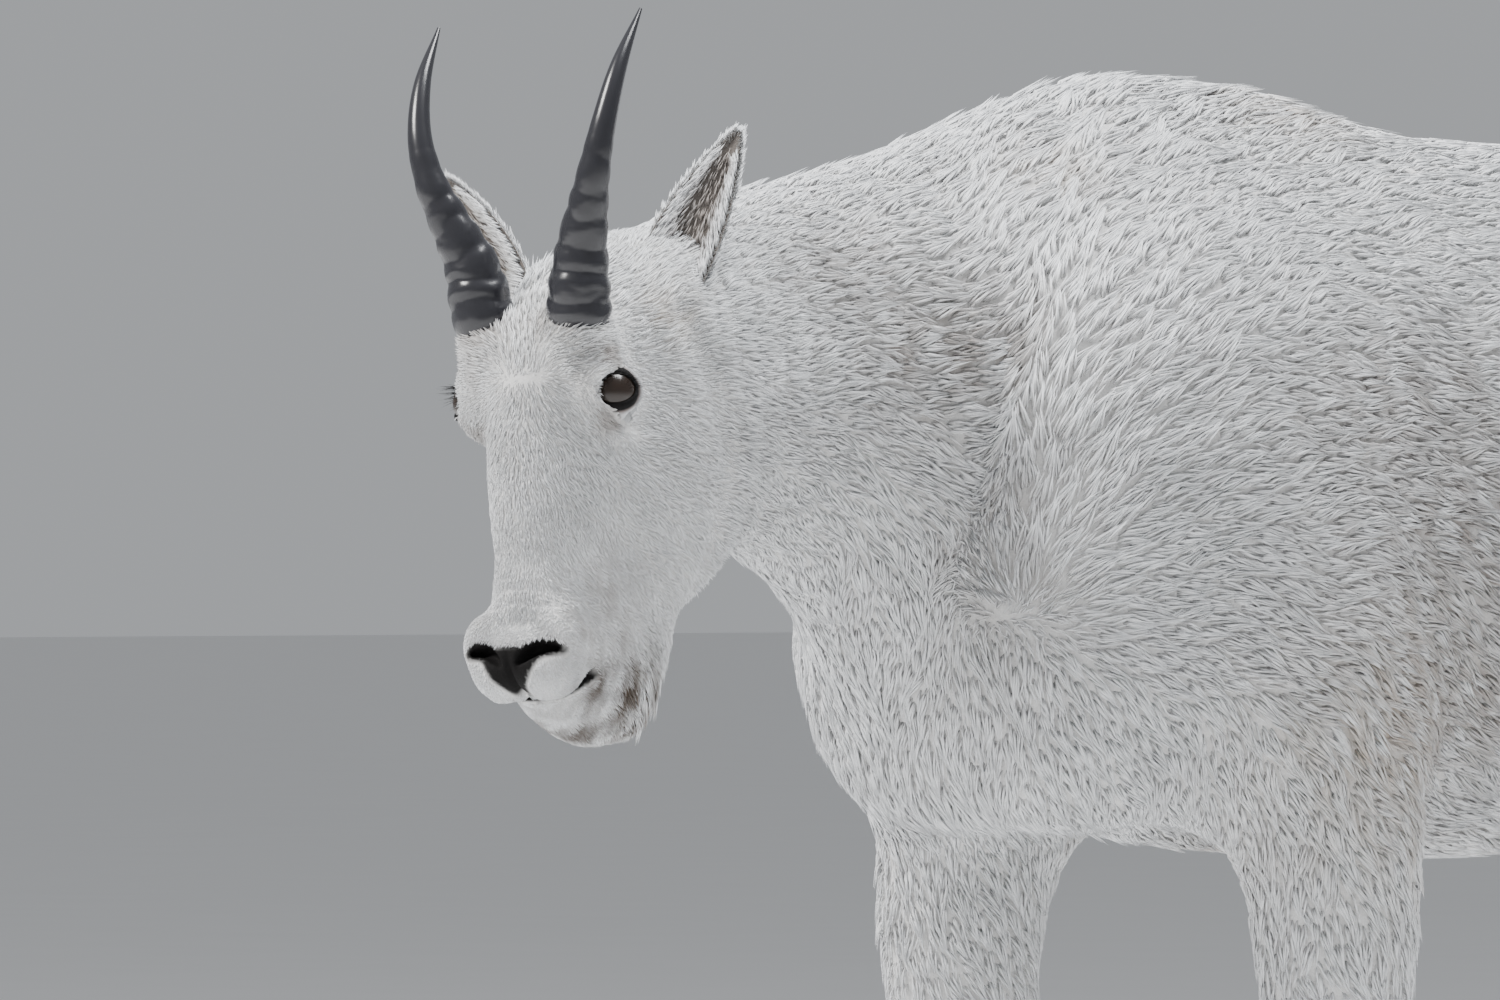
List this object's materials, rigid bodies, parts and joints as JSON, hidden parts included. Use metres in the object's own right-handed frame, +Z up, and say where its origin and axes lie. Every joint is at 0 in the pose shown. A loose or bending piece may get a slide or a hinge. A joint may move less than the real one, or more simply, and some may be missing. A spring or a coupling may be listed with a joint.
{
  "type": "standing mountain goat",
  "caption": "Life-size still model of an adult mountain goat standing on four cloven feet, head turned to its left, in a short pale coat with a beard and curved black horns.",
  "frame": {"origin": "on the floor under the middle of the bounding box", "axes": "+Z up, the goat faces -Y, its left side is +X"},
  "size_m": [0.3572, 1.2892, 1.0325],
  "materials": {
    "coat": "short pale cream-grey hair",
    "horn": "black horn, ringed and dull below, smooth and glossy above",
    "hoof": "dull dark hoof horn",
    "eye": "wet, nearly black brown"
  },
  "bodies": {
    "root": {"forequarters": "coat", "barrel": "coat", "hindquarters": "coat", "tail": "coat", "neck": "coat", "eye_left": "eye", "eye_right": "eye", "head": "coat", "horn_left": "horn", "horn_right": "horn", "ear_left": "coat", "ear_right": "coat", "claw_foreleg_left_inner": "hoof", "claw_foreleg_left_outer": "hoof", "foreleg_left": "coat", "claw_hindleg_left_inner": "hoof", "claw_hindleg_left_outer": "hoof", "hindleg_left": "coat", "claw_foreleg_right_outer": "hoof", "claw_foreleg_right_inner": "hoof", "foreleg_right": "coat", "claw_hindleg_right_outer": "hoof", "claw_hindleg_right_inner": "hoof", "hindleg_right": "coat"}
  },
  "joints": []
}
